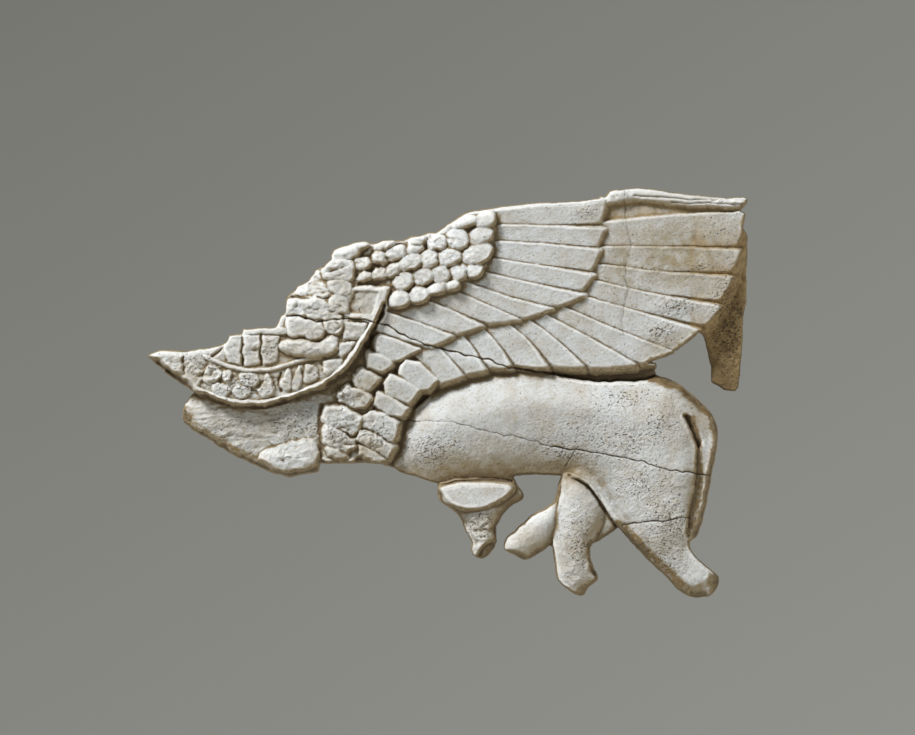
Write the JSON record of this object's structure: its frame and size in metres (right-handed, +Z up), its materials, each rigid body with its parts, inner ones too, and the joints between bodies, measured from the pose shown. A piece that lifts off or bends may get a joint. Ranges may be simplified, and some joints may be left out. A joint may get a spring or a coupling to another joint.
{
  "type": "winged sphinx plaque",
  "caption": "Fragment of a carved openwork furniture plaque: the body, wing, collar and wig of a striding winged sphinx in ivory, head and feet lost, flat at the back.",
  "frame": {"origin": "on the flat back, behind the foot of the wing, at the middle of the plaque's view", "axes": "+X towards the sphinx's tail, the plaque's long way; +Y out of the flat back, towards the furniture that it is set into; +Z up"},
  "size_m": [0.1296, 0.0124, 0.0886],
  "materials": {
    "ivory": "worn matt ivory, pitted, with tan stains in the hollows and amber-brown sides"
  },
  "bodies": {
    "root": {"sphinx_plaque": "ivory"}
  },
  "joints": []
}
